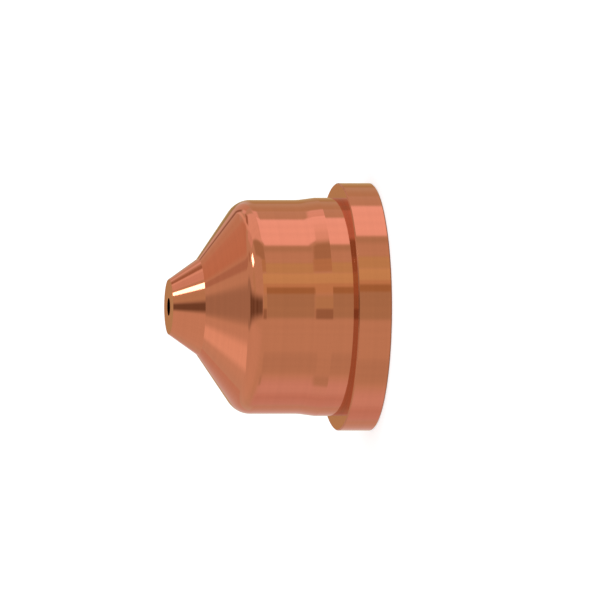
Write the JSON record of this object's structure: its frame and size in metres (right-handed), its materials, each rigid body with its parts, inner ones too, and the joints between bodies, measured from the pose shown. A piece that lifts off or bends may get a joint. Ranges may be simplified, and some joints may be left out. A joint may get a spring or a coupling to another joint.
{
  "type": "plasma torch nozzle",
  "caption": "Turned copper nozzle with a rear flange, a guide land, a straight barrel, a two-angle conical nose and a small central orifice.",
  "frame": {"origin": "centre of the flange's flat rear face, on the axis; the nozzle stands on that face", "axes": "+Z along the axis from the rear face towards the tip; X and Y are free, the part is round"},
  "size_m": [0.022, 0.022, 0.0182],
  "materials": {
    "copper": "bright, finely turned"
  },
  "bodies": {
    "root": {"nozzle": "copper"}
  },
  "joints": []
}
